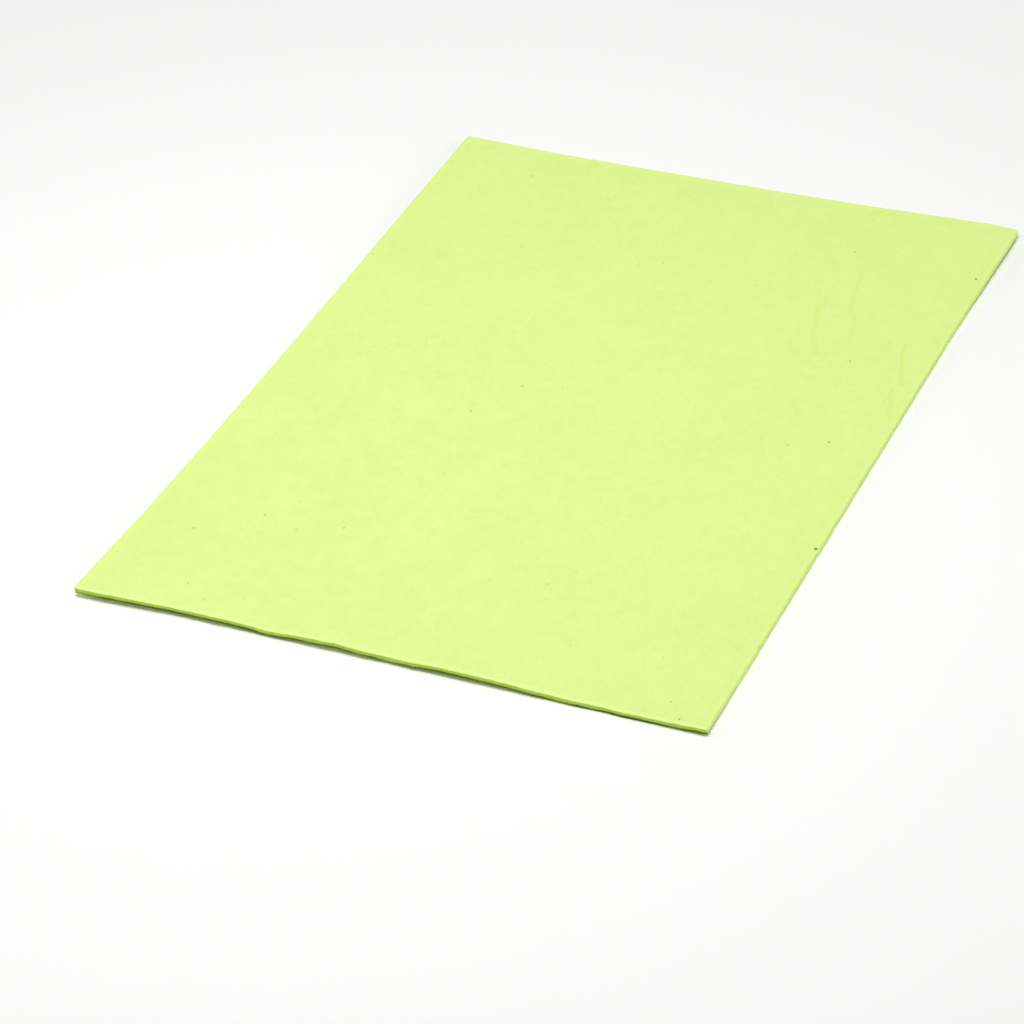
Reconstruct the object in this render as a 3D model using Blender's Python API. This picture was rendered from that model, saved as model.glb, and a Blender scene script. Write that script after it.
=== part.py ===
"""Craft foam sheet: one A4 sheet of thin closed-cell foam, lying on a level surface.

The sheet is die-cut from one piece of foam, so it is a single solid of even thickness. It rests on the flat
middle of its underside. Its corners curl up a little, and two of them have a drooping tip. Its near border
ripples, and two corners are pulled slightly out of square.

Sizes are in metres and +Z is up. X runs along the short side and Y along the long side. The near border is
at -Y. The origin is at the middle of the underside.
"""

import math

import bmesh
import bpy

# Overall sizes
SHEET_WIDTH = 0.210
SHEET_LENGTH = 0.297
SHEET_THICKNESS = 0.002

# Cut edges: the die leaves the corners all but square and rounds both rims
CORNER_RADIUS = 0.0005
CORNER_STEPS = 3
RIM_ROUND = 0.00035
RIM_STEPS = 2

# Shape of a rounded edge in the bevel's own measure, where a half is a quarter circle
ROUND_PROFILE = 0.5

# Size of one cell of the mesh, fine enough for the narrowest ripple
CELL = 0.0075

# Curl of a corner: side along X, side along Y, lift at the corner, reach along X, reach along Y
CORNER_CURLS = (
    (-1, +1, +0.00095, 0.040, 0.170),
    (+1, +1, +0.00110, 0.100, 0.075),
    (+1, -1, +0.00050, 0.020, 0.030),
    (-1, -1, +0.00145, 0.085, 0.130),
)

# Droop of a curled corner's tip, with the same five values
TIP_DROOPS = (
    (-1, -1, -0.00015, 0.018, 0.024),
    (+1, +1, -0.00030, 0.012, 0.022),
)

# Ripple of the near border: place of its crest from the left side, half width, height
NEAR_RIPPLES = (
    (0.052, 0.020, 0.0005),
    (0.086, 0.026, 0.0013),
    (0.130, 0.044, 0.0011),
)
RIPPLE_REACH = 0.060

# Pull of a corner out of square: side along X, side along Y, pull along X and Y, reach along X and Y
CORNER_PULLS = (
    (-1, -1, -0.0013, -0.00155, 0.040, 0.050),
    (+1, +1, +0.0015, +0.00070, 0.050, 0.075),
)

# How near to level a rim's edge lies, and how upright a face counts as the cut side
LEVEL_TOLERANCE = 1e-6
HALF_UPRIGHT = 0.5

# Pale lime foam, as linear colour, with a dull skin
FOAM_COLOUR = (0.783, 0.965, 0.319, 1.0)
FOAM_ROUGHNESS = 0.8


def clear_scene():
    """Remove whatever objects the scene holds."""
    for thing in list(bpy.data.objects):
        bpy.data.objects.remove(thing, do_unlink=True)


def fade(distance, reach):
    """Ease from one at no distance to nothing at the reach and beyond."""
    left = max(0.0, 1.0 - distance / reach)
    return left * left * (3.0 - 2.0 * left)


def distance_from_side(place, side, size):
    """Distance inwards from the side at plus or minus half the size, never negative."""
    return max(0.0, size / 2 - side * place)


def lift_at(x, y):
    """Height of the underside above the surface that the sheet lies on."""
    lift = 0.0
    for side_x, side_y, height, reach_x, reach_y in CORNER_CURLS + TIP_DROOPS:
        across = fade(distance_from_side(x, side_x, SHEET_WIDTH), reach_x)
        along = fade(distance_from_side(y, side_y, SHEET_LENGTH), reach_y)
        lift += height * across * along
    inland = fade(distance_from_side(y, -1, SHEET_LENGTH), RIPPLE_REACH)
    for from_left, half_width, height in NEAR_RIPPLES:
        lift += height * fade(abs(x + SHEET_WIDTH / 2 - from_left), half_width) * inland
    return lift


def pull_at(x, y):
    """Shift in the plane where a corner is pulled out of square."""
    shift_x = 0.0
    shift_y = 0.0
    for side_x, side_y, pull_x, pull_y, reach_x, reach_y in CORNER_PULLS:
        share = fade(distance_from_side(x, side_x, SHEET_WIDTH), reach_x)
        share *= fade(distance_from_side(y, side_y, SHEET_LENGTH), reach_y)
        shift_x += pull_x * share
        shift_y += pull_y * share
    return shift_x, shift_y


def flat_blank(bm):
    """Draw the flat outline as a grid of cells with rounded corners."""
    cells_across = round(SHEET_WIDTH / CELL)
    cells_along = round(SHEET_LENGTH / CELL)
    bmesh.ops.create_grid(bm, x_segments=cells_across, y_segments=cells_along, size=1.0)
    bmesh.ops.scale(bm, vec=(SHEET_WIDTH / 2, SHEET_LENGTH / 2, 1.0), verts=bm.verts)
    corners = [vert for vert in bm.verts if len(vert.link_edges) == 2]
    bmesh.ops.bevel(
        bm,
        geom=corners,
        offset=CORNER_RADIUS,
        segments=CORNER_STEPS,
        profile=ROUND_PROFILE,
        affect="VERTICES",
    )


def thicken(bm):
    """Turn the flat blank into a closed slab that stands on Z = 0."""
    bmesh.ops.solidify(bm, geom=bm.faces[:], thickness=SHEET_THICKNESS)
    bmesh.ops.recalc_face_normals(bm, faces=bm.faces[:])
    lowest = min(vert.co.z for vert in bm.verts)
    bmesh.ops.translate(bm, vec=(0.0, 0.0, -lowest), verts=bm.verts)


def rim_edges(bm, height):
    """List the edges where a flat face at this height meets the cut side."""
    rim = []
    for edge in bm.edges:
        level = all(math.isclose(vert.co.z, height, abs_tol=LEVEL_TOLERANCE) for vert in edge.verts)
        flatness = sorted(abs(face.normal.z) for face in edge.link_faces)
        if level and flatness[0] < HALF_UPRIGHT < flatness[-1]:
            rim.append(edge)
    return rim


def round_rims(bm):
    """Round the upper and the lower rim of the cut side."""
    for height in (SHEET_THICKNESS, 0.0):
        rim = rim_edges(bm, height)
        bmesh.ops.bevel(
            bm, geom=rim, offset=RIM_ROUND, segments=RIM_STEPS, profile=ROUND_PROFILE, affect="EDGES"
        )


def relax(bm):
    """Give the slab the shape in which the real sheet lies."""
    for vert in bm.verts:
        shift_x, shift_y = pull_at(vert.co.x, vert.co.y)
        vert.co.z += lift_at(vert.co.x, vert.co.y)
        vert.co.x += shift_x
        vert.co.y += shift_y


def foam_material():
    """Pale lime foam with a dull skin."""
    material = bpy.data.materials.new("lime_foam")
    material.use_nodes = True
    shader = material.node_tree.nodes["Principled BSDF"]
    shader.inputs["Base Color"].default_value = FOAM_COLOUR
    shader.inputs["Roughness"].default_value = FOAM_ROUGHNESS
    shader.inputs["Metallic"].default_value = 0.0
    material.diffuse_color = FOAM_COLOUR
    return material


def foam_sheet():
    """Build the sheet as one solid and place it in the scene."""
    bm = bmesh.new()
    flat_blank(bm)
    thicken(bm)
    round_rims(bm)
    relax(bm)
    mesh = bpy.data.meshes.new("foam_sheet")
    bm.to_mesh(mesh)
    bm.free()
    mesh.materials.append(foam_material())
    sheet = bpy.data.objects.new("foam_sheet", mesh)
    bpy.context.scene.collection.objects.link(sheet)
    return sheet


clear_scene()
foam_sheet()
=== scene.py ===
"""Looks of one A4 sheet of pale lime craft foam, lying on a pale table under soft light.

The sheet is die-cut from closed-cell EVA foam. Its two faces keep the dull, finely grained skin of the foam,
and its cut side shows open cells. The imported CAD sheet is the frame: the sheet built here lies in its place,
with the same curls, ripples and pulls, and adds the pinched rims, the wander of the cut and the finishes.

Lengths are in metres where a name says nothing else. Materials work in millimetres.
"""

import logging
import math
from collections.abc import Iterable, Mapping
from dataclasses import dataclass
from enum import Enum

import bpy
import numpy as np
from mathutils import Matrix, Vector


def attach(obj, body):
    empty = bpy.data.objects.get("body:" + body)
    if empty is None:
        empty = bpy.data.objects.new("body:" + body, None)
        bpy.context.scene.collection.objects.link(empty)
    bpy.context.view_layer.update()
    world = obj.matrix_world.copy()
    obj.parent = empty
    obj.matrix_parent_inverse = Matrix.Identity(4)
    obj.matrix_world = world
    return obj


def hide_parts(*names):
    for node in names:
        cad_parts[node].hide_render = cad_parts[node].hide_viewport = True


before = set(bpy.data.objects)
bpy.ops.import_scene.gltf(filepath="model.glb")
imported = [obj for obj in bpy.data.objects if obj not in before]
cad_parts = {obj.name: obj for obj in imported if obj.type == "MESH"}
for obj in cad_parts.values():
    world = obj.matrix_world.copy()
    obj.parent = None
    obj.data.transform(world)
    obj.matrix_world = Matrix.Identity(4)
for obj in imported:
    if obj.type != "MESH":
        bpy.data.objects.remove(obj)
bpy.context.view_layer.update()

LOG = logging.getLogger("foam_sheet")
MM = 0.001

Array = np.ndarray
Pair = tuple[float, float]
Triple = tuple[float, float, float]
Colour = tuple[float, float, float, float]
Tree = bpy.types.NodeTree
Socket = bpy.types.NodeSocket

# Inputs and output of a Mix node that is set to colours: share, colour under, colour over, mixed colour
MIX_SHARE = 0
MIX_UNDER = 6
MIX_OVER = 7
MIXED = 2
# Setting of a Map Range node that eases in and out
SMOOTHLY = {"interpolation_type": "SMOOTHSTEP"}


# Helpers for shapes, colours and nodes


def ease(distance: Array, reach: float) -> Array:
    """Ease from one at no distance to nothing at the reach and beyond.

    Formula: with t = 1 - distance / reach, held between 0 and 1, the result is t squared times (3 - 2 t).

    Args:
        distance: distances, in any unit.
        reach: distance at which the result becomes nothing, in the same unit.

    Returns:
        Shares between 0 and 1, in the shape of the distances.
    """
    t = np.clip(1.0 - np.abs(distance) / reach, 0.0, 1.0)
    return t * t * (3.0 - 2.0 * t)


@dataclass(frozen=True)
class Waves:
    """Smooth unevenness of plane waves: their shortest and longest length, their count and their seed."""

    shortest: float
    longest: float
    count: int
    seed: int

    def at(self, x: Array, y: Array) -> Array:
        """Work out the unevenness at places.

        Formula: the mean of cosines of (direction . place / wavelength * 2 pi + phase), with directions and
        phases drawn evenly and wavelengths drawn evenly on a log scale, times the square root of twice the
        count, so that the spread stays about one.

        Args:
            x: places along X.
            y: places along Y.

        Returns:
            Values of spread about one, in the shape of x.
        """
        draw = np.random.default_rng(self.seed)
        direction = draw.uniform(0.0, 2.0 * math.pi, self.count)
        phase = draw.uniform(0.0, 2.0 * math.pi, self.count)
        length = np.exp(draw.uniform(math.log(self.shortest), math.log(self.longest), self.count))
        along = x[..., None] * np.cos(direction) + y[..., None] * np.sin(direction)
        wave = np.cos(along / length * 2.0 * math.pi + phase)
        return wave.mean(axis=-1) * math.sqrt(2.0 * self.count)


def linear_colour(hex_colour: str) -> Colour:
    """Turn an sRGB hex colour into linear red, green, blue and full alpha.

    Args:
        hex_colour: six hex digits after a hash sign.

    Returns:
        The linear colour that a shader socket takes.
    """
    shares = [int(hex_colour[i : i + 2], 16) / 255.0 for i in (1, 3, 5)]
    red, green, blue = (s / 12.92 if s <= 0.04045 else ((s + 0.055) / 1.055) ** 2.4 for s in shares)
    return red, green, blue, 1.0


def add_node(
    tree: Tree,
    kind: str,
    settings: Mapping[str, object] | None = None,
    inputs: Mapping[str | int, object] | None = None,
) -> bpy.types.Node:
    """Add a node, set it and wire its inputs.

    Args:
        tree: node tree that gets the node.
        kind: Blender's name of the node type.
        settings: values of the node's own properties.
        inputs: a value, or the socket to link from, for each input's name or number.

    Returns:
        The new node.
    """
    node = tree.nodes.new(kind)
    for name, value in (settings or {}).items():
        setattr(node, name, value)
    for name, value in (inputs or {}).items():
        if isinstance(value, Socket):
            tree.links.new(value, node.inputs[name])
        else:
            node.inputs[name].default_value = value
    return node


def weighted_sum(
    tree: Tree, start: Socket | float, parts: Iterable[tuple[Socket, float]], held: bool = False
) -> Socket:
    """Add several values up, each times its weight.

    Args:
        tree: node tree that gets the sum.
        start: what the sum starts from.
        parts: the values with their weights.
        held: whether the sum is held between 0 and 1.

    Returns:
        Socket with the sum.
    """
    total = start
    for value, weight in parts:
        step = add_node(
            tree, "ShaderNodeMath", {"operation": "MULTIPLY_ADD"}, {0: value, 1: weight, 2: total}
        )
        total = step.outputs[0]
    step.use_clamp = held
    return total


# The sheet


class Across(Enum):
    """Side of the sheet along X."""

    LEFT = -1
    RIGHT = 1


class Along(Enum):
    """Side of the sheet along Y."""

    NEAR = -1
    FAR = 1


class Finish(Enum):
    """Material slot of the sheet that a patch of its surface takes."""

    SKIN = 0
    CUT = 1


@dataclass(frozen=True)
class Curl:
    """A corner that curls up, or a tip that droops if the lift is negative, and its reach along X and Y."""

    across: Across
    along: Along
    lift: float
    reach_x: float
    reach_y: float


@dataclass(frozen=True)
class Ripple:
    """A ripple of the near border: its crest's place from the left side, its half width and its height."""

    crest: float
    half_width: float
    height: float


@dataclass(frozen=True)
class Pull:
    """A corner pulled out of square: its two sides, its shift along X and Y, and its reach along X and Y."""

    across: Across
    along: Along
    shift_x: float
    shift_y: float
    reach_x: float
    reach_y: float


@dataclass(frozen=True)
class Lie:
    """How the sheet lies: the curls, ripples and pulls of the CAD sheet."""

    width: float
    length: float
    curls: tuple[Curl, ...] = (
        Curl(Across.LEFT, Along.FAR, 0.00095, 0.040, 0.170),
        Curl(Across.RIGHT, Along.FAR, 0.00110, 0.100, 0.075),
        Curl(Across.RIGHT, Along.NEAR, 0.00050, 0.020, 0.030),
        Curl(Across.LEFT, Along.NEAR, 0.00145, 0.085, 0.130),
        Curl(Across.LEFT, Along.NEAR, -0.00015, 0.018, 0.024),
        Curl(Across.RIGHT, Along.FAR, -0.00030, 0.012, 0.022),
    )
    ripples: tuple[Ripple, ...] = (
        Ripple(0.052, 0.020, 0.0005),
        Ripple(0.086, 0.026, 0.0013),
        Ripple(0.130, 0.044, 0.0011),
    )
    ripple_reach: float = 0.060
    pulls: tuple[Pull, ...] = (
        Pull(Across.LEFT, Along.NEAR, -0.0013, -0.00155, 0.040, 0.050),
        Pull(Across.RIGHT, Along.FAR, 0.0015, 0.00070, 0.050, 0.075),
    )

    def from_side(self, place: Array, side: Across | Along) -> Array:
        """Distance inwards from one side of the sheet, nothing outside it."""
        size = self.width if isinstance(side, Across) else self.length
        return np.maximum(size / 2.0 - side.value * place, 0.0)

    def lift(self, x: Array, y: Array) -> Array:
        """Height of the underside above the table.

        Formula: each curl adds its lift times the eased distance from each of its two sides, and each ripple
        adds its height times the eased distance from its crest and the eased distance from the near side.

        Args:
            x: places along X.
            y: places along Y.

        Returns:
            Heights in metres.
        """
        height = np.zeros_like(x)
        for curl in self.curls:
            share = ease(self.from_side(x, curl.across), curl.reach_x)
            height += curl.lift * share * ease(self.from_side(y, curl.along), curl.reach_y)
        inland = ease(self.from_side(y, Along.NEAR), self.ripple_reach)
        for ripple in self.ripples:
            from_crest = x + self.width / 2.0 - ripple.crest
            height += ripple.height * ease(from_crest, ripple.half_width) * inland
        return height

    def pull(self, x: Array, y: Array) -> tuple[Array, Array]:
        """Shift in the plane where a corner is pulled out of square.

        Formula: each pull adds its shift times the eased distances from its two sides.

        Args:
            x: places along X.
            y: places along Y.

        Returns:
            The shifts along X and along Y.
        """
        shift_x = np.zeros_like(x)
        shift_y = np.zeros_like(y)
        for pull in self.pulls:
            share = ease(self.from_side(x, pull.across), pull.reach_x)
            share = share * ease(self.from_side(y, pull.along), pull.reach_y)
            shift_x += pull.shift_x * share
            shift_y += pull.shift_y * share
        return shift_x, shift_y


@dataclass(frozen=True)
class CutSide:
    """Section of the die-cut side, from the upper rim down to the lower rim."""

    top_round: float = 0.35 * MM
    bottom_round: float = 0.35 * MM
    waist: float = 0.10 * MM
    rim_steps: int = 4
    wall_steps: int = 6

    def section(self, thickness: float) -> tuple[Array, Array]:
        """Work out the section as distance inwards from the outline, and height.

        Formula: a quarter circle of the upper radius, a wall that pulls in by the waist times the sine of pi
        times its share of the way down, and a quarter circle of the lower radius.

        Args:
            thickness: thickness of the sheet.

        Returns:
            Distances inwards and heights, from the top face's border to the underside's border.
        """
        quarter = np.linspace(0.0, math.pi / 2.0, self.rim_steps + 1)
        down = np.linspace(0.0, 1.0, self.wall_steps + 1)
        upper_inset = self.top_round * (1.0 - np.sin(quarter))
        upper_height = thickness - self.top_round * (1.0 - np.cos(quarter))
        wall_inset = self.waist * np.sin(math.pi * down)
        wall_top = thickness - self.top_round
        wall_height = wall_top + (self.bottom_round - wall_top) * down
        lower_inset = self.bottom_round * (1.0 - np.cos(quarter))
        lower_height = self.bottom_round * (1.0 - np.sin(quarter))
        inset = np.concatenate((upper_inset, wall_inset[1:], lower_inset[1:]))
        height = np.concatenate((upper_height, wall_height[1:], lower_height[1:]))
        return inset, height


class SheetAttribute(Enum):
    """Values that the mesh carries for the finishes.

    They are the distances inwards from the four sides, the height, the way from the nearest open cell in
    radii of that cell, and the depth of its painted shade.
    """

    NEAR = "from_near_mm"
    FAR = "from_far_mm"
    LEFT = "from_left_mm"
    RIGHT = "from_right_mm"
    HEIGHT = "share_of_height"
    FROM_CELL = "radii_from_open_cell"
    # Depth of the painted shade of the nearest open cell
    CELL_SHADE = "open_cell_depth"


@dataclass(frozen=True)
class OpenCell:
    """A cell of the foam that lies open in the skin: its place and radius in mm, and how deep its painted
    shade is.
    """

    x: float
    y: float
    radius: float
    depth: float


@dataclass(frozen=True)
class Crease:
    """A rubbed crease of the skin: the places of its course and its half width in mm, and its strength."""

    course: tuple[Pair, ...]
    half_width: float
    strength: float


@dataclass(frozen=True)
class PaintedRimBand:
    """A rim band of painted shade or highlight: its tone, its width in mm, and its share along each of its
    borders.
    """

    tone: str
    width_mm: float
    borders: tuple[tuple[SheetAttribute, float], ...]


# Open cells of the top face that stand out, at their real places from the middle of the sheet, dark with
# painted shade
OPEN_CELLS = (
    OpenCell(104.1, -52.4, 0.55, 1.0),
    OpenCell(102.4, 113.4, 0.44, 0.9),
    OpenCell(88.0, 4.4, 0.42, 0.7),
    OpenCell(78.5, 51.8, 0.36, 0.55),
    OpenCell(-29.7, -17.1, 0.38, 0.55),
    OpenCell(-19.6, 2.2, 0.4, 0.45),
    OpenCell(-85.5, -108.4, 0.36, 0.5),
    OpenCell(-67.5, -93.9, 0.36, 0.5),
    OpenCell(57.2, 117.2, 0.36, 0.5),
    OpenCell(76.1, -1.5, 0.34, 0.4),
    OpenCell(-40.6, -91.4, 0.36, 0.5),
    OpenCell(-73.6, -135.4, 0.34, 0.45),
    OpenCell(-102.9, 61.9, 0.34, 0.45),
    OpenCell(-65.0, -141.7, 0.32, 0.35),
    OpenCell(32.1, -97.4, 0.32, 0.4),
    OpenCell(-71.3, 130.1, 0.36, 0.45),
    OpenCell(-54.5, -97.8, 0.32, 0.4),
    OpenCell(95.4, -146.2, 0.34, 0.7),
    OpenCell(-38.5, 123.3, 0.36, 0.5),
    OpenCell(90.1, -139.2, 0.32, 0.4),
    OpenCell(31.6, 86.4, 0.32, 0.35),
    OpenCell(-55.1, 83.7, 0.32, 0.35),
    OpenCell(72.7, -25.4, 0.32, 0.3),
)

# Creases of the top face, all in its right half, where the sheet was handled
CREASES = (
    Crease(((58.1, 85.5), (57.8, 78.5), (60.2, 70.1), (61.5, 63.0), (66.2, 52.8)), 1.3, 0.55),
    Crease(((64.5, 105.3), (64.7, 100.0), (66.4, 89.0), (68.5, 82.1)), 1.2, 0.6),
    Crease(((68.5, 82.1), (71.6, 75.5), (73.8, 65.7), (75.3, 59.4)), 1.3, 0.6),
    Crease(((93.1, 67.8), (93.8, 62.0), (95.5, 55.2), (97.1, 48.4), (99.2, 43.3)), 1.2, 1.0),
    Crease(((97.0, 41.1), (98.5, 35.1), (100.3, 27.9), (102.2, 21.4)), 1.2, 0.7),
    Crease(((87.0, 67.9), (89.8, 60.8)), 1.1, 0.45),
    Crease(((69.0, 24.2), (72.8, 15.6)), 1.8, 0.4),
    Crease(((77.8, 41.4), (79.4, 36.9)), 1.5, 0.5),
)


@dataclass(frozen=True)
class Fade:
    """Fade of a share: the value up to which it is full, and the value at which it is gone."""

    full: float
    gone: float

    def inputs(self, value: Socket, share: Socket | float, unit: float = 1.0) -> dict[str, object]:
        """Inputs of the Map Range node that makes the fade.

        Args:
            value: what the fade depends on.
            share: the full share.
            unit: size, in the value's own measure, that the fade's two values count in.

        Returns:
            The inputs by name.
        """
        ends = {"From Min": self.full * unit, "From Max": self.gone * unit}
        return {"Value": value, "To Min": share, "To Max": 0.0, **ends}


class Blend(Enum):
    """How a coat mixes with the colour under it."""

    OVER = "MIX"
    TINT = "MULTIPLY"


@dataclass(frozen=True)
class Coat:
    """A tone over the foam's colour: where it shows, what it is, and how it mixes."""

    share: Socket
    tone: str
    blend: Blend = Blend.OVER


@dataclass(frozen=True)
class Surface:
    """What a finish works out: its coats from the lowest up, its roughness, and its height in reliefs."""

    coats: tuple[Coat, ...]
    roughness: Socket | float
    height: Socket


@dataclass(frozen=True)
class FoamFinish:
    """What both finishes of EVA foam share: Object coordinates in mm, a fine relief, and the foam's IOR."""

    name: str
    light: str
    relief_mm: float
    ior: float = 1.48

    def make(self) -> bpy.types.Material:
        """Build the finish's material.

        Returns:
            A material that reads Object coordinates, turned to millimetres, and the sheet's own values.
        """
        material = bpy.data.materials.new(self.name)
        material.use_nodes = True
        tree = material.node_tree
        tree.nodes.clear()
        place = add_node(tree, "ShaderNodeTexCoord").outputs["Object"]
        scaled = add_node(tree, "ShaderNodeVectorMath", {"operation": "SCALE"}, {0: place, "Scale": 1.0 / MM})
        surface = self.surface(tree, scaled.outputs["Vector"])
        colour: Socket | Colour = linear_colour(self.light)
        for coat in surface.coats:
            mix = {"data_type": "RGBA", "blend_type": coat.blend.value}
            tones = {MIX_SHARE: coat.share, MIX_UNDER: colour, MIX_OVER: linear_colour(coat.tone)}
            colour = add_node(tree, "ShaderNodeMix", mix, tones).outputs[MIXED]
        relief = {"Strength": 1.0, "Distance": MM * self.relief_mm, "Height": surface.height}
        bump = add_node(tree, "ShaderNodeBump", None, relief)
        shader = add_node(
            tree,
            "ShaderNodeBsdfPrincipled",
            None,
            {
                "Base Color": colour,
                "Roughness": surface.roughness,
                "IOR": self.ior,
                "Normal": bump.outputs["Normal"],
            },
        )
        add_node(tree, "ShaderNodeOutputMaterial", None, {"Surface": shader.outputs["BSDF"]})
        return material

    def surface(self, tree: Tree, mm: Socket) -> Surface:
        """Coats, roughness and height, which each finish works out from the place in millimetres."""
        raise NotImplementedError


@dataclass(frozen=True)
class FoamSkin(FoamFinish):
    """Skin of closed-cell EVA foam, left by the hot plates of the press.

    To the eye it is a dull, slightly mealy lime with a fine pebble and a faint cloudiness. The die pinched
    its border. A painted shade makes the rim richer on the left and far sides, and a painted highlight makes
    it pale on the near and right sides. Here and there a cell lies open, dark with painted shade, or the skin
    has a rubbed crease.
    """

    name: str = "eva_foam_skin"
    light: str = "#E4F99B"
    deep: str = "#D8ED88"
    rubbed: str = "#D6ED7B"
    # Painted shade inside the open cells and the pores
    open_cell_shade: str = "#547000"
    # Painted shade deepens the rim on the far and left sides, and a painted highlight pales it on the near and
    # right sides
    painted_rim_bands: tuple[PaintedRimBand, ...] = (
        PaintedRimBand("#E1F583", 3.2, ((SheetAttribute.FAR, 1.0), (SheetAttribute.LEFT, 0.6))),
        PaintedRimBand("#E9F9A1", 2.0, ((SheetAttribute.NEAR, 0.65), (SheetAttribute.RIGHT, 0.15))),
    )
    # Fade of the painted rim shade and highlight
    painted_rim_fade: Fade = Fade(0.3, 1.0)
    relief_mm: float = 0.035
    gap_roughness: float = 0.72
    crown_roughness: float = 0.86
    # The real pebble is about 0.3 mm across, which is one pixel here, so it is drawn about twice as coarse.
    pebble_mm: float = 0.65
    crown_fade: Fade = Fade(0.05, 0.75)
    crown_share: float = 0.5
    grit_mm: float = 1.3
    grit_share: float = 0.5
    # How much of the deep tone the skin has, and what the clouds, the patches and the pebble add to it
    deep_share: float = 0.57
    cloud_mm: float = 38.0
    cloud_share: float = 0.35
    patch_mm: float = 5.0
    patch_share: float = 0.5
    pebble_share: float = -0.7
    # How deep a crease and an open cell lie, in reliefs
    crease_dent: float = -0.8
    cell_dent: float = -5.0
    # Fades of a placed cell and of a pore, in radii, and of a crease, in half widths
    cell_fade: Fade = Fade(0.4, 1.4)
    pore_fade: Fade = Fade(0.4, 2.2)
    crease_fade: Fade = Fade(0.0, 1.0)
    # Share of painted shade in a pore
    pore_shade_share: float = 0.45
    pore_spacing_mm: float = 9.0
    pore_radius_mm: float = 0.16
    waver_mm: float = 1.6
    waver_length_mm: float = 6.0
    # Values of the slow noise between which a crease grows from its fainter share to its full one
    break_span: Pair = (0.35, 0.6)
    faint_share: float = 0.6
    # Shares of the sheet's height between which the placed marks begin
    top_span: Pair = (0.6, 0.8)

    def surface(self, tree: Tree, mm: Socket) -> Surface:
        """Work out the skin: cloudy, patchy and grained, with a painted rim shade and highlight, creases and
        open cells in painted shade.

        Args:
            tree: node tree of the material.
            mm: place in millimetres.

        Returns:
            The skin's surface.
        """
        flat = add_node(tree, "ShaderNodeVectorMath", {"operation": "MULTIPLY"}, {0: mm, 1: (1.0, 1.0, 0.0)})
        pebble = self.pebble(tree, mm)
        creases = self.creases(tree, mm, flat.outputs["Vector"])
        cells = self.open_cells(tree, mm)
        # Painted rim shade and painted rim highlight
        painted_rim_bands = [Coat(self.along_borders(tree, band), band.tone) for band in self.painted_rim_bands]
        # The open cells' dark tone is a painted shade
        marks = (Coat(creases, self.rubbed), Coat(cells, self.open_cell_shade))
        roughness = add_node(
            tree,
            "ShaderNodeMapRange",
            None,
            {"Value": pebble, "To Min": self.gap_roughness, "To Max": self.crown_roughness},
        )
        height = weighted_sum(tree, pebble, ((creases, self.crease_dent), (cells, self.cell_dent)))
        coats = (Coat(self.deep_part(tree, mm, pebble), self.deep), *painted_rim_bands, *marks)
        return Surface(coats, roughness.outputs["Result"], height)

    def pebble(self, tree: Tree, mm: Socket) -> Socket:
        """Fine pebble of the skin, rounded cells of uneven size with grit on them.

        Args:
            tree: node tree of the material.
            mm: place in millimetres.

        Returns:
            Socket with a value between 0 in the gaps and 1 on the crowns.
        """
        cells = add_node(
            tree,
            "ShaderNodeTexVoronoi",
            {"feature": "SMOOTH_F1"},
            {"Vector": mm, "Scale": 1.0 / self.pebble_mm, "Smoothness": 0.6, "Randomness": 1.0},
        )
        fade = self.crown_fade.inputs(cells.outputs["Distance"], self.crown_share)
        crowns = add_node(tree, "ShaderNodeMapRange", None, fade)
        grit = add_node(
            tree,
            "ShaderNodeTexNoise",
            None,
            {"Vector": mm, "Scale": 1.0 / self.grit_mm, "Detail": 3.0, "Roughness": 0.6},
        )
        parts = ((grit.outputs["Fac"], self.grit_share),)
        return weighted_sum(tree, crowns.outputs["Result"], parts, held=True)

    def deep_part(self, tree: Tree, mm: Socket, pebble: Socket) -> Socket:
        """Share of the deep tone: it comes and goes in clouds and patches, and lies in the pebble's gaps.

        Args:
            tree: node tree of the material.
            mm: place in millimetres.
            pebble: value of the pebble.

        Returns:
            Socket with the share.
        """
        parts = []
        for size, detail, weight in (
            (self.cloud_mm, 1.0, self.cloud_share),
            (self.patch_mm, 2.0, self.patch_share),
        ):
            noise = add_node(
                tree, "ShaderNodeTexNoise", None, {"Vector": mm, "Scale": 1.0 / size, "Detail": detail}
            )
            parts.append((noise.outputs["Fac"], weight))
        parts.append((pebble, self.pebble_share))
        return weighted_sum(tree, self.deep_share, parts, held=True)

    def along_borders(self, tree: Tree, band: PaintedRimBand) -> Socket:
        """Share of a rim band of painted shade or highlight: full for a part of its width and gone at its
        width.

        Args:
            tree: node tree of the material.
            band: the band.

        Returns:
            Socket with the larger of its shares along its borders.
        """
        largest: Socket | float = 0.0
        for border, share in band.borders:
            inwards = add_node(tree, "ShaderNodeAttribute", {"attribute_name": border.value})
            fade = self.painted_rim_fade.inputs(inwards.outputs["Fac"], share, band.width_mm)
            beside = add_node(tree, "ShaderNodeMapRange", SMOOTHLY, fade)
            larger = {0: beside.outputs["Result"], 1: largest}
            largest = add_node(tree, "ShaderNodeMath", {"operation": "MAXIMUM"}, larger).outputs[0]
        return largest

    def on_top(self, tree: Tree, share: Socket) -> Socket:
        """Keep a share to the upper skin.

        Args:
            tree: node tree of the material.
            share: the share.

        Returns:
            Socket with the share, nothing on the lower skin.
        """
        height = add_node(tree, "ShaderNodeAttribute", {"attribute_name": SheetAttribute.HEIGHT.value})
        low, high = self.top_span
        upper = add_node(
            tree,
            "ShaderNodeMapRange",
            None,
            {"Value": height.outputs["Fac"], "From Min": low, "From Max": high},
        )
        kept = {0: share, 1: upper.outputs["Result"]}
        return add_node(tree, "ShaderNodeMath", {"operation": "MULTIPLY"}, kept).outputs[0]

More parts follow.
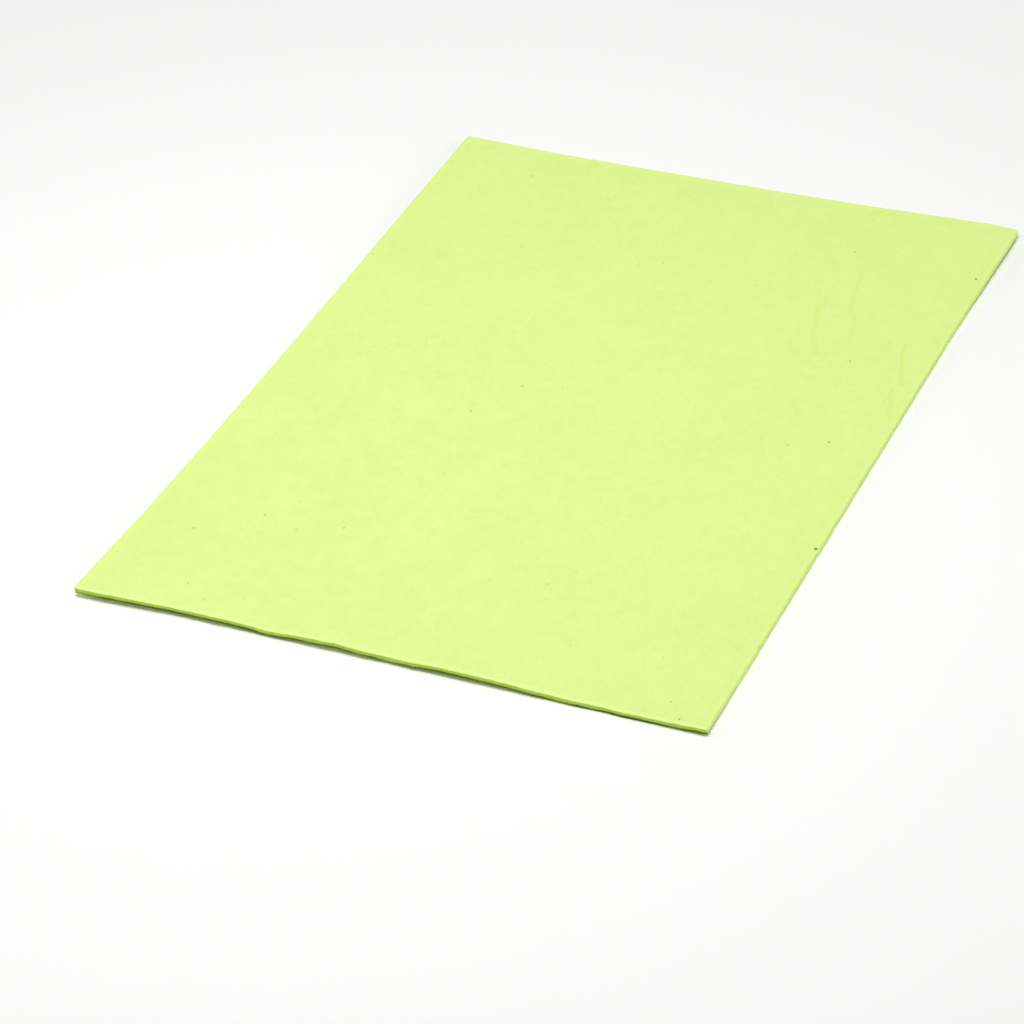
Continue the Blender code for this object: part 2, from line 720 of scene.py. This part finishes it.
    def open_cells(self, tree: Tree, mm: Socket) -> Socket:
        """Open cells in painted shade: the placed ones on the upper skin, and faint pores scattered over both
        skins.

        Formula: a placed cell's share of painted shade falls from its depth at the middle to nothing a little
        past its radius.
        A pore sits at each point of a loose, uneven grid.

        Args:
            tree: node tree of the material.
            mm: place in millimetres.

        Returns:
            Socket with the larger share of the two.
        """
        grid = add_node(
            tree,
            "ShaderNodeTexVoronoi",
            {"feature": "F1"},
            {"Vector": mm, "Scale": 1.0 / self.pore_spacing_mm, "Randomness": 1.0},
        )
        radius = self.pore_radius_mm / self.pore_spacing_mm
        fade = self.pore_fade.inputs(grid.outputs["Distance"], self.pore_shade_share, radius)
        pores = add_node(tree, "ShaderNodeMapRange", SMOOTHLY, fade)
        # The placed open cells' painted shade
        away = add_node(tree, "ShaderNodeAttribute", {"attribute_name": SheetAttribute.FROM_CELL.value})
        depth = add_node(tree, "ShaderNodeAttribute", {"attribute_name": SheetAttribute.CELL_SHADE.value})
        radii = add_node(tree, "ShaderNodeVectorMath", {"operation": "LENGTH"}, {0: away.outputs["Vector"]})
        fade = self.cell_fade.inputs(radii.outputs["Value"], depth.outputs["Fac"])
        placed = add_node(tree, "ShaderNodeMapRange", SMOOTHLY, fade).outputs["Result"]
        larger = {0: pores.outputs["Result"], 1: self.on_top(tree, placed)}
        return add_node(tree, "ShaderNodeMath", {"operation": "MAXIMUM"}, larger).outputs[0]

    def creases(self, tree: Tree, mm: Socket, flat: Socket) -> Socket:
        """Rubbed creases of the upper skin, which waver and come and go along their course.

        Formula: each run between two places of a course is a line with round ends. Its share falls from the
        crease's strength on the line to nothing at the half width. A slow noise shifts the places first, and
        then scales the largest share.

        Args:
            tree: node tree of the material.
            mm: place in millimetres.
            flat: the same place with its height left out.

        Returns:
            Socket with the share of the creases.
        """
        noise = add_node(
            tree,
            "ShaderNodeTexNoise",
            None,
            {"Vector": mm, "Scale": 1.0 / self.waver_length_mm, "Detail": 2.0},
        )
        wavering = add_node(
            tree,
            "ShaderNodeVectorMath",
            {"operation": "MULTIPLY_ADD"},
            {0: noise.outputs["Color"], 1: (2.0 * self.waver_mm, 2.0 * self.waver_mm, 0.0), 2: flat},
        )
        centred = add_node(
            tree,
            "ShaderNodeVectorMath",
            {"operation": "SUBTRACT"},
            {0: wavering.outputs["Vector"], 1: (self.waver_mm, self.waver_mm, 0.0)},
        )
        largest: Socket | float = 0.0
        for crease in CREASES:
            for start, end in zip(crease.course[:-1], crease.course[1:]):
                distance = self.from_run(tree, centred.outputs["Vector"], start, end)
                fade = self.crease_fade.inputs(distance, crease.strength, crease.half_width)
                share = add_node(tree, "ShaderNodeMapRange", SMOOTHLY, fade)
                larger = {0: share.outputs["Result"], 1: largest}
                largest = add_node(tree, "ShaderNodeMath", {"operation": "MAXIMUM"}, larger).outputs[0]
        low, high = self.break_span
        patchy = add_node(
            tree,
            "ShaderNodeMapRange",
            None,
            {"Value": noise.outputs["Fac"], "From Min": low, "From Max": high, "To Min": self.faint_share},
        )
        broken = add_node(
            tree, "ShaderNodeMath", {"operation": "MULTIPLY"}, {0: largest, 1: patchy.outputs["Result"]}
        )
        return self.on_top(tree, broken.outputs[0])

    def from_run(self, tree: Tree, place: Socket, start: Pair, end: Pair) -> Socket:
        """Distance from one straight run of a crease.

        Formula: the share of the run at which it passes the place is (place - start) . run divided by the
        run's length squared, held between 0 and 1. The distance is that from start + share * run.

        Args:
            tree: node tree of the material.
            place: place in millimetres, its height left out.
            start: place where the run starts.
            end: place where the run ends.

        Returns:
            Socket with the distance in millimetres.
        """
        first = Vector((*start, 0.0))
        run = Vector((*end, 0.0)) - first
        per_run = run / run.length_squared
        along = add_node(tree, "ShaderNodeVectorMath", {"operation": "DOT_PRODUCT"}, {0: place, 1: per_run})
        passed = {0: along.outputs["Value"], 1: first.dot(per_run)}
        share = add_node(tree, "ShaderNodeMath", {"operation": "SUBTRACT", "use_clamp": True}, passed)
        reached = {0: share.outputs[0], 1: run, 2: first}
        nearest = add_node(tree, "ShaderNodeVectorMath", {"operation": "MULTIPLY_ADD"}, reached)
        ends = {0: place, 1: nearest.outputs["Vector"]}
        return add_node(tree, "ShaderNodeVectorMath", {"operation": "DISTANCE"}, ends).outputs["Value"]


@dataclass(frozen=True)
class DieCutFoam(FoamFinish):
    """Side of EVA foam cut by a steel-rule die.

    The cut opens the cells, so it looks mealy, with tiny pits in painted shade and faint upright marks of the
    blade. Its lower part is a little darker, a painted shade. The near side is richer, a painted shade, and
    along its lowest part lies a painted contact shadow of dark olive, at a height that varies along the side.
    """

    name: str = "die_cut_eva_foam"
    light: str = "#E1F690"
    # The deep tone serves the grit and the blade's marks, and also the painted shade of the lower part
    deep: str = "#D2E883"
    # Painted shade in the open cells of the cut
    pit_shade: str = "#AFC46A"
    # Painted shade of the near side: a lime tint that makes it richer
    near_shade_tint: str = "#E3F2A0"
    # Painted contact shadow along the lowest part of the near side
    contact_shadow: str = "#4C6A08"
    relief_mm: float = 0.08
    roughness: float = 0.9
    # Real cells are 0.1 to 0.3 mm across. They are drawn up to twice as coarse, so that they show.
    cell_mm: float = 0.45
    # Fade of the painted shade in a cell's hollow, in sizes of the cell
    pit_shade_fade: Fade = Fade(0.0, 0.42)
    pit_shade_share: float = 0.8
    blade_mm: float = 0.7
    blade_height_mm: float = 6.0
    blade_dent: float = -0.8
    # How much of the deep tone the cut has, and what the painted shade of its lower part, the grit and the
    # blade's marks add to it
    deep_share: float = -0.45
    # Painted shade of the lower part of the cut
    low_shade_share: float = 0.35
    low_shade_fade: Fade = Fade(0.1, 0.6)
    grit_mm: float = 1.35
    grit_share: float = 0.9
    blade_share: float = 0.9
    # Fade of the near side's painted shade with the distance from the near side, in mm
    near_shade_fade: Fade = Fade(0.4, 1.6)
    # Fade of the painted contact shadow at the near side's bottom with the share of the height, and how much a
    # noise adds to that share
    contact_shadow_fade: Fade = Fade(0.58, 0.82)
    contact_shadow_noise_mm: float = 11.0
    contact_shadow_noise_share: float = 0.7

    def surface(self, tree: Tree, mm: Socket) -> Surface:
        """Work out the cut side: mealy, with painted shade in its pits, and on the near side a richer painted
        shade and a painted contact shadow low down.

        Args:
            tree: node tree of the material.
            mm: place in millimetres.

        Returns:
            The cut side's surface.
        """
        cells = add_node(
            tree,
            "ShaderNodeTexVoronoi",
            {"feature": "F1"},
            {"Vector": mm, "Scale": 1.0 / self.cell_mm, "Randomness": 1.0},
        )
        # Painted shade in the open cells of the cut
        fade = self.pit_shade_fade.inputs(cells.outputs["Distance"], self.pit_shade_share)
        pits = add_node(tree, "ShaderNodeMapRange", SMOOTHLY, fade)
        upright = add_node(
            tree,
            "ShaderNodeMapping",
            {"vector_type": "TEXTURE"},
            {"Vector": mm, "Scale": (self.blade_mm, self.blade_mm, self.blade_height_mm)},
        )
        blade = add_node(
            tree,
            "ShaderNodeTexNoise",
            None,
            {"Vector": upright.outputs["Vector"], "Scale": 1.0, "Detail": 2.0},
        )
        # How near to the near side, for its painted shade and painted contact shadow
        inwards = add_node(tree, "ShaderNodeAttribute", {"attribute_name": SheetAttribute.NEAR.value})
        fade = self.near_shade_fade.inputs(inwards.outputs["Fac"], 1.0)
        near = add_node(tree, "ShaderNodeMapRange", SMOOTHLY, fade).outputs["Result"]
        height = add_node(tree, "ShaderNodeAttribute", {"attribute_name": SheetAttribute.HEIGHT.value})
        coats = (
            Coat(self.deep_part(tree, mm, height.outputs["Fac"], blade.outputs["Fac"]), self.deep),
            # Painted shade in the open cells of the cut
            Coat(pits.outputs["Result"], self.pit_shade),
            # Painted shade that makes the near side richer
            Coat(near, self.near_shade_tint, Blend.TINT),
            # Painted contact shadow along the lowest part of the near side
            Coat(self.contact_shadow_part(tree, mm, height.outputs["Fac"], near), self.contact_shadow),
        )
        dents = ((blade.outputs["Fac"], self.blade_dent),)
        return Surface(coats, self.roughness, weighted_sum(tree, cells.outputs["Distance"], dents))

    def deep_part(self, tree: Tree, mm: Socket, height: Socket, blade: Socket) -> Socket:
        """Share of the deep tone: more in the lower part as a painted shade, and in the grit and in the
        blade's marks.

        Args:
            tree: node tree of the material.
            mm: place in millimetres.
            height: share of the sheet's height.
            blade: value of the blade's marks.

        Returns:
            Socket with the share.
        """
        grit = add_node(
            tree,
            "ShaderNodeTexNoise",
            None,
            {"Vector": mm, "Scale": 1.0 / self.grit_mm, "Detail": 3.0, "Roughness": 0.65},
        )
        # Painted shade of the lower part of the cut
        low = add_node(tree, "ShaderNodeMapRange", SMOOTHLY, self.low_shade_fade.inputs(height, self.low_shade_share))
        parts = (
            (low.outputs["Result"], 1.0),
            (grit.outputs["Fac"], self.grit_share),
            (blade, self.blade_share),
        )
        return weighted_sum(tree, self.deep_share, parts, held=True)

    def contact_shadow_part(self, tree: Tree, mm: Socket, height: Socket, near: Socket) -> Socket:
        """Share of the painted contact shadow: the lowest part of the near side, up to an uneven height.

        Args:
            tree: node tree of the material.
            mm: place in millimetres.
            height: share of the sheet's height.
            near: how near to the near side the place is.

        Returns:
            Socket with the share.
        """
        noise = add_node(
            tree, "ShaderNodeTexNoise", None, {"Vector": mm, "Scale": 1.0 / self.contact_shadow_noise_mm, "Detail": 3.0}
        )
        uneven = weighted_sum(tree, height, ((noise.outputs["Fac"], self.contact_shadow_noise_share),))
        fade = self.contact_shadow_fade.inputs(uneven, near)
        return add_node(tree, "ShaderNodeMapRange", SMOOTHLY, fade).outputs["Result"]


@dataclass(frozen=True)
class SheetMesh:
    """Arrays of the sheet's mesh: places, distances inwards from the outline, faces and finishes."""

    places: Array
    inwards: Array
    quads: Array
    finishes: Array


@dataclass(frozen=True)
class Notch:
    """A small notch in the upper part of a side: the side, the place along it, half width, depth, reach."""

    side: Across | Along
    place: float
    half_width: float
    depth: float
    reach: float


@dataclass(frozen=True)
class FoamSheet:
    """The sheet of craft foam: two skinned faces and the cut side around them, as one closed surface."""

    width: float = 0.210
    length: float = 0.297
    thickness: float = 0.002
    corner_radius: float = 0.5 * MM
    corner_cells: int = 4
    border_lines: tuple[float, ...] = (0.9 * MM, 1.5 * MM, 2.4 * MM)
    cell: float = 1.3 * MM
    pinch: float = 0.07 * MM
    pinch_reach: float = 0.9 * MM
    unevenness: float = 0.02 * MM
    skin_waves: Waves = Waves(9.0 * MM, 60.0 * MM, 24, seed=11)
    wander: float = 0.08 * MM
    wander_reach: float = 4.0 * MM
    long_side_waves: Waves = Waves(4.0 * MM, 30.0 * MM, 20, seed=12)
    short_side_waves: Waves = Waves(4.0 * MM, 30.0 * MM, 20, seed=13)
    fray: float = 0.035 * MM
    fray_waves: Waves = Waves(2.8 * MM, 8.0 * MM, 40, seed=14)
    side: CutSide = CutSide()
    notches: tuple[Notch, ...] = (
        Notch(Across.RIGHT, -104.6 * MM, 0.35 * MM, 0.55 * MM, 1.2 * MM),
        Notch(Along.NEAR, -63.0 * MM, 0.20 * MM, 0.12 * MM, 0.8 * MM),
        Notch(Along.NEAR, 12.0 * MM, 0.20 * MM, 0.12 * MM, 0.8 * MM),
    )
    # Mesh lines added at a notch, and how far the even lines keep from its middle, in its half widths
    notch_lines: tuple[float, ...] = (-1.2, -0.6, 0.0, 0.6, 1.2)
    notch_clearance: float = 2.0
    # Distance to which an open cell's depth is carried: past its fade by more than a face's diagonal
    cell_reach_mm: float = 3.0

    @property
    def lie(self) -> Lie:
        """How the sheet lies."""
        return Lie(self.width, self.length)

    def lines(self, size: float, inset: float, sides: type[Enum]) -> Array:
        """Places of the mesh lines across one size of a face.

        Formula: close lines through the rounded corner, the border lines, then even cells, mirrored about the
        middle, with a few lines added at each notch and the even lines that come too close to them left out.

        Args:
            size: size of the sheet in this direction.
            inset: distance of the face's border inwards from the outline.
            sides: kind of side along which these lines are counted, so its notches lie on the other kind.

        Returns:
            Sorted places from one border of the face to the other.
        """
        corner = np.linspace(inset, self.corner_radius, self.corner_cells + 1)
        from_outline = np.concatenate((corner, self.border_lines))
        half = size / 2.0
        reach = half - from_outline[-1]
        middle = np.linspace(-reach, reach, round(2.0 * reach / self.cell) + 1)
        for notch in self.notches:
            if isinstance(notch.side, sides):
                continue
            added = notch.place + notch.half_width * np.array(self.notch_lines)
            clear = np.abs(middle - notch.place) > self.notch_clearance * notch.half_width
            middle = np.sort(np.concatenate((middle[clear], added)))
        return np.concatenate((from_outline[:-1] - half, middle, half - from_outline[-2::-1]))

    def face(self, inset: float) -> tuple[Array, Array, Array]:
        """Grid of one face, with its corners rounded.

        Formula: within a corner's square, a place (u, v) from the arc's centre, as shares of the radius,
        moves to (u * sqrt(1 - v * v / 2), v * sqrt(1 - u * u / 2)), which bends the square's outside into a
        quarter circle.

        Args:
            inset: distance of the face's border inwards from the outline.

        Returns:
            X and Y of the grid, the first index along X, and the distances inwards from the outline.
        """
        lines_x = self.lines(self.width, inset, Across)
        lines_y = self.lines(self.length, inset, Along)
        x, y = np.meshgrid(lines_x, lines_y, indexing="ij")
        inwards = np.minimum(self.width / 2.0 - np.abs(x), self.length / 2.0 - np.abs(y))
        radius = self.corner_radius - inset
        centre_x = self.width / 2.0 - self.corner_radius
        centre_y = self.length / 2.0 - self.corner_radius
        u = np.maximum(np.abs(x) - centre_x, 0.0) / radius
        v = np.maximum(np.abs(y) - centre_y, 0.0) / radius
        shift_x = radius * u * (np.sqrt(1.0 - v * v / 2.0) - 1.0)
        shift_y = radius * v * (np.sqrt(1.0 - u * u / 2.0) - 1.0)
        return x + np.sign(x) * shift_x, y + np.sign(y) * shift_y, inwards

    def ring(self, count_x: int, count_y: int) -> Array:
        """Indices of a face's border vertices, in order around the sheet, counterclockwise from above."""
        grid = np.arange(count_x * count_y).reshape(count_x, count_y)
        return np.concatenate((grid[:-1, 0], grid[-1, :-1], grid[:0:-1, -1], grid[0, :0:-1]))

    def outward(self, x: Array, y: Array) -> tuple[Array, Array]:
        """Direction straight out of the sheet at border places of a face.

        Formula: the part of the place beyond the box of the corner arcs' centres, made one long.

        Args:
            x: X of the border places.
            y: Y of the border places.

        Returns:
            X and Y of the directions.
        """
        beyond_x = np.sign(x) * np.maximum(np.abs(x) - (self.width / 2.0 - self.corner_radius), 0.0)
        beyond_y = np.sign(y) * np.maximum(np.abs(y) - (self.length / 2.0 - self.corner_radius), 0.0)
        size = np.hypot(beyond_x, beyond_y)
        return beyond_x / size, beyond_y / size

    def blank(self) -> SheetMesh:
        """Sheet as cut, still perfectly flat.

        Formula: the top face's grid, the cut side's section carried around the border, and the underside's
        grid, sharing the vertices where they meet.

        Returns:
            Arrays of the closed mesh.
        """
        inset, height = self.side.section(self.thickness)
        top_x, top_y, top_inwards = self.face(inset[0])
        low_x, low_y, low_inwards = self.face(inset[-1])
        ring = self.ring(*top_x.shape)
        ring_x, ring_y = top_x.ravel()[ring], top_y.ravel()[ring]
        out_x, out_y = self.outward(ring_x, ring_y)
        further = (inset[0] - inset[1:-1])[:, None]
        side_x = ring_x + out_x * further
        side_y = ring_y + out_y * further
        side_z = np.repeat(height[1:-1, None], len(ring), axis=1)
        side_inwards = np.repeat(inset[1:-1, None], len(ring), axis=1)
        x = np.concatenate((top_x.ravel(), side_x.ravel(), low_x.ravel()))
        y = np.concatenate((top_y.ravel(), side_y.ravel(), low_y.ravel()))
        z = np.concatenate((np.full(top_x.size, self.thickness), side_z.ravel(), np.zeros(low_x.size)))
        inwards = np.concatenate((top_inwards.ravel(), side_inwards.ravel(), low_inwards.ravel()))
        quads, finishes = self.quads(*top_x.shape, len(side_z))
        return SheetMesh(np.stack((x, y, z), axis=1), inwards, quads, finishes)

    def quads(self, count_x: int, count_y: int, rows: int) -> tuple[Array, Array]:
        """Four-sided faces of the closed mesh and the finish of each.

        Args:
            count_x: vertices of a face along X.
            count_y: vertices of a face along Y.
            rows: rows of vertices on the cut side, between the borders of the two faces.

        Returns:
            Vertex indices of each face, in the order that points it outwards, and the number of its finish.
        """
        grid = np.arange(count_x * count_y).reshape(count_x, count_y)
        corners = (grid[:-1, :-1], grid[1:, :-1], grid[1:, 1:], grid[:-1, 1:])
        top = np.stack([corner.ravel() for corner in corners], axis=1)
        ring = self.ring(count_x, count_y)
        first_side = count_x * count_y
        first_low = first_side + rows * len(ring)
        low = top[:, ::-1] + first_low
        side_rows = first_side + np.arange(rows * len(ring)).reshape(rows, len(ring))
        levels = np.concatenate((ring[None], side_rows, ring[None] + first_low))
        after = np.roll(levels, -1, axis=1)
        side = np.stack((levels[:-1], levels[1:], after[1:], after[:-1]), axis=-1)
        side_finish = np.full(side.shape[:2], Finish.CUT.value)
        side_finish[: self.side.rim_steps // 2] = Finish.SKIN.value
        side_finish[-1:] = Finish.SKIN.value
        quads = np.concatenate((top, side.reshape(-1, 4), low))
        skin = np.full(len(top), Finish.SKIN.value)
        return quads, np.concatenate((skin, side_finish.ravel(), skin))

    def settle(self, blank: SheetMesh) -> Array:
        """Places of the vertices in the sheet as it lies.

        Formula: the skin dips towards the border by the pinch times exp(-inwards / reach), and away from the
        border it is uneven by a sum of waves, both in proportion to the height above the underside. The
        border wanders by a sum of waves that fades inland, half as much on the long sides, and the upper rim
        of the short sides frays by shorter waves. A notch presses the border in by its depth times the eased
        distance from its middle. Then come the lie's lift and pull.

        Args:
            blank: the flat sheet.

        Returns:
            Places in metres, one row for each vertex.
        """
        x, y, z = blank.places.T
        share = z / self.thickness
        half_x, half_y = self.width / 2.0, self.length / 2.0
        near_x = np.sign(x) * ease(half_x - np.abs(x), self.wander_reach)
        near_y = np.sign(y) * ease(half_y - np.abs(y), self.wander_reach)
        wander_x = self.long_side_waves.at(np.sign(x) * half_x, y)
        wander_y = self.short_side_waves.at(x, np.sign(y) * half_y)
        fray_y = self.fray_waves.at(x, np.sign(y) * half_y) * share
        dip = self.pinch * np.exp(-blank.inwards / self.pinch_reach)
        inland = 1.0 - ease(blank.inwards, self.wander_reach)
        uneven = self.unevenness * self.skin_waves.at(x, y) * inland
        shift_x, shift_y = self.lie.pull(x, y)
        shift_x += self.wander / 2.0 * near_x * wander_x
        shift_y += near_y * (self.wander * wander_y + self.fray * fray_y)
        for notch in self.notches:
            across = isinstance(notch.side, Across)
            along, place = (y, x) if across else (x, y)
            from_side = (half_x if across else half_y) - notch.side.value * place
            bite = ease(along - notch.place, notch.half_width) * ease(from_side, notch.reach)
            inwards = -notch.side.value * notch.depth * bite * share
            if across:
                shift_x += inwards
            else:
                shift_y += inwards
        raised = z + share * (uneven - dip) + self.lie.lift(x, y)
        return np.stack((x + shift_x, y + shift_y, raised), axis=1)

    def build(self) -> bpy.types.Object:
        """Build the sheet as one object, smooth shaded, with its values for the finishes.

        Returns:
            The object, at the origin, with its place in its mesh.
        """
        blank = self.blank()
        places = self.settle(blank)
        mesh = bpy.data.meshes.new("lime_foam_sheet")
        mesh.vertices.add(len(places))
        mesh.vertices.foreach_set("co", places.ravel())
        mesh.loops.add(blank.quads.size)
        mesh.loops.foreach_set("vertex_index", blank.quads.ravel().astype(np.int32))
        mesh.polygons.add(len(blank.quads))
        mesh.polygons.foreach_set("loop_start", np.arange(0, blank.quads.size, 4, dtype=np.int32))
        mesh.polygons.foreach_set("material_index", blank.finishes.astype(np.int32))
        mesh.update(calc_edges=True)
        mesh.shade_smooth()
        self.carry(mesh, SheetAttribute.NEAR, (self.length / 2.0 + blank.places[:, 1]) / MM)
        self.carry(mesh, SheetAttribute.FAR, (self.length / 2.0 - blank.places[:, 1]) / MM)
        self.carry(mesh, SheetAttribute.LEFT, (self.width / 2.0 + blank.places[:, 0]) / MM)
        self.carry(mesh, SheetAttribute.RIGHT, (self.width / 2.0 - blank.places[:, 0]) / MM)
        self.carry(mesh, SheetAttribute.HEIGHT, blank.places[:, 2] / self.thickness)
        from_cell, cell_shade_share = self.nearest_cells(places)
        self.carry(mesh, SheetAttribute.FROM_CELL, from_cell)
        self.carry(mesh, SheetAttribute.CELL_SHADE, cell_shade_share)
        if mesh.validate():
            raise ValueError("the sheet's mesh had faults")
        piece = bpy.data.objects.new(mesh.name, mesh)
        bpy.context.scene.collection.objects.link(piece)
        return piece

    def nearest_cells(self, places: Array) -> tuple[Array, Array]:
        """Way to each vertex from the open cell nearest to it, and the depth of that cell's painted shade.

        Formula: the way is (place - middle of the cell) / its radius. It is linear, so it stays exact between
        the vertices. Beyond the reach the depth is nothing, so no mark shows where two cells' ways meet.

        Args:
            places: places of the vertices.

        Returns:
            The ways, one row for each vertex, and the depths of painted shade.
        """
        cells = np.array([(cell.x, cell.y, cell.radius, cell.depth) for cell in OPEN_CELLS])
        away = places[:, None, :2] / MM - cells[:, :2]
        distance = np.hypot(away[..., 0], away[..., 1])
        nearest = distance.argmin(axis=1)
        vertex = np.arange(len(places))
        way = away[vertex, nearest] / cells[nearest, 2:3]
        depth = np.where(distance[vertex, nearest] < self.cell_reach_mm, cells[nearest, 3], 0.0)
        return np.pad(way, ((0, 0), (0, 1))), depth

    def carry(self, mesh: bpy.types.Mesh, attribute: SheetAttribute, values: Array) -> None:
        """Write one value, or one row of three, for each vertex into the mesh.

        Args:
            mesh: the sheet's mesh.
            attribute: which value it is.
            values: the values.
        """
        kind, field = ("FLOAT", "value") if values.ndim == 1 else ("FLOAT_VECTOR", "vector")
        layer = mesh.attributes.new(attribute.value, kind, "POINT")
        layer.data.foreach_set(field, values.ravel().astype(np.float32))

    def dress(self, piece: bpy.types.Object) -> None:
        """Give the sheet its two finishes, in the order of their slots."""
        dressing = {Finish.SKIN: FoamSkin().make(), Finish.CUT: DieCutFoam().make()}
        for finish in Finish:
            piece.data.materials.append(dressing[finish])


# The studio


@dataclass(frozen=True)
class Table:
    """The pale table top under the sheet, wide enough that no view shows its border."""

    turns: tuple[tuple[int, int], ...] = ((-1, -1), (1, -1), (1, 1), (-1, 1))
    half_size: float = 4.0
    gap: float = 0.01 * MM
    colour: str = "#FAFAF9"
    roughness: float = 0.7

    def build(self) -> None:
        """Build the table top."""
        corners = [(x * self.half_size, y * self.half_size, -self.gap) for x, y in self.turns]
        mesh = bpy.data.meshes.new("table_top")
        mesh.from_pydata(corners, [], [(0, 1, 2, 3)])
        table = bpy.data.objects.new("table_top", mesh)
        bpy.context.scene.collection.objects.link(table)
        material = bpy.data.materials.new("matt_white_laminate")
        material.use_nodes = True
        shader = material.node_tree.nodes["Principled BSDF"]
        shader.inputs["Base Color"].default_value = linear_colour(self.colour)
        shader.inputs["Roughness"].default_value = self.roughness
        mesh.materials.append(material)


@dataclass(frozen=True)
class Softbox:
    """A softbox, itself unseen: its name, place, width and height in metres, and power in watts."""

    name: str
    place: Triple
    size: Pair
    power: float

    def build(self) -> None:
        """Build the softbox, turned towards the middle of the sheet."""
        light = bpy.data.lights.new(self.name, "AREA")
        light.shape = "RECTANGLE"
        light.size, light.size_y = self.size
        light.energy = self.power
        box = bpy.data.objects.new(self.name, light)
        box.visible_camera = False
        box.matrix_world = Matrix.Translation(self.place) @ (
            (-Vector(self.place)).to_track_quat("-Z", "Y").to_matrix().to_4x4()
        )
        bpy.context.scene.collection.objects.link(box)


@dataclass(frozen=True)
class FarPanel:
    """A large light panel far off: its name, the way to it, how wide it looks, and its light in watts per m2.

    It lights the sheet and the table evenly, so the table stays pale far behind the sheet.
    """

    name: str
    towards: Triple
    width: float
    strength: float

    def build(self) -> None:
        """Build the panel, its light coming from where it stands."""
        light = bpy.data.lights.new(self.name, "SUN")
        light.angle = self.width
        light.energy = self.strength
        panel = bpy.data.objects.new(self.name, light)
        panel.matrix_world = Vector(self.towards).to_track_quat("Z", "Y").to_matrix().to_4x4()
        bpy.context.scene.collection.objects.link(panel)


@dataclass(frozen=True)
class Camera:
    """Camera on its stand: its place, what it aims at, its lean, its lens and its sensor's width."""

    place: Triple = (438.30 * MM, -958.86 * MM, 703.48 * MM)
    aim: Triple = (6.36 * MM, -65.55 * MM, 2.0 * MM)
    lean: float = math.radians(3.792)
    lens_mm: float = 134.255
    sensor_mm: float = 36.0
    clip: Pair = (0.01, 50.0)

    def build(self) -> None:
        """Build the camera and make it the scene's.

        Formula: the camera looks along the line from its place to its aim, its right side is level, and then
        it leans about that line.
        """
        ahead = (Vector(self.aim) - Vector(self.place)).normalized()
        level = ahead.cross(Vector((0.0, 0.0, 1.0))).normalized()
        upright = level.cross(ahead)
        right = level * math.cos(self.lean) - upright * math.sin(self.lean)
        above = right.cross(ahead)
        turn = Matrix((right, above, -ahead)).transposed().to_4x4()
        data = bpy.data.cameras.new("studio_camera")
        data.lens = self.lens_mm
        data.sensor_width = self.sensor_mm
        data.clip_start, data.clip_end = self.clip
        camera = bpy.data.objects.new("studio_camera", data)
        camera.matrix_world = Matrix.Translation(self.place) @ turn
        bpy.context.scene.collection.objects.link(camera)
        bpy.context.scene.camera = camera


@dataclass(frozen=True)
class Studio:
    """The studio: the table, a softbox, far panels, pale walls all around, and the camera."""

    table: Table = Table()
    lights: tuple[Softbox | FarPanel, ...] = (
        Softbox("overhead_softbox", (-0.076, -0.090, 0.5), (0.3, 0.3), 0.906),
        FarPanel("ceiling_panel", (0.0, 0.0, 1.0), math.radians(34.0), 1.35),
        FarPanel("right_panel", (1.5, -0.09, 0.4), math.radians(40.0), 1.08),
        FarPanel("left_panel", (-1.5, -0.09, 0.4), math.radians(40.0), 0.861),
    )
    camera: Camera = Camera()
    wall_colour: str = "#FFFFFF"
    wall_light: float = 0.2
    wall_seen: float = 0.8

    def build(self) -> None:
        """Build the studio and set plain colour handling, so that hex colours stay what they are."""
        self.table.build()
        for light in self.lights:
            light.build()
        self.camera.build()
        self.walls()
        view = bpy.context.scene.view_settings
        view.view_transform = "Standard"
        view.look = "None"
        view.exposure = 0.0
        view.gamma = 1.0

    def walls(self) -> None:
        """Light the pale walls evenly, a little brighter to the eye than they light the sheet."""
        world = bpy.data.worlds.new("pale_walls")
        world.use_nodes = True
        tree = world.node_tree
        tree.nodes.clear()
        colour = linear_colour(self.wall_colour)
        lit = add_node(tree, "ShaderNodeBackground", None, {"Color": colour, "Strength": self.wall_light})
        seen = add_node(tree, "ShaderNodeBackground", None, {"Color": colour, "Strength": self.wall_seen})
        rays = add_node(tree, "ShaderNodeLightPath")
        both = add_node(
            tree,
            "ShaderNodeMixShader",
            None,
            {0: rays.outputs["Is Camera Ray"], 1: lit.outputs["Background"], 2: seen.outputs["Background"]},
        )
        add_node(tree, "ShaderNodeOutputWorld", None, {"Surface": both.outputs["Shader"]})
        bpy.context.scene.world = world


def main() -> None:
    """Build the sheet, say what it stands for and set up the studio."""
    logging.basicConfig(level=logging.INFO, format="%(message)s")
    sheet = FoamSheet()
    piece = sheet.build()
    sheet.dress(piece)
    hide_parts("foam_sheet")
    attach(piece, "root")
    LOG.info("%s: %d faces, %d vertices", piece.name, len(piece.data.polygons), len(piece.data.vertices))
    studio = Studio()
    studio.build()
    LOG.info("studio: %d lights", len(studio.lights))


if __name__ == "__main__":
    main()
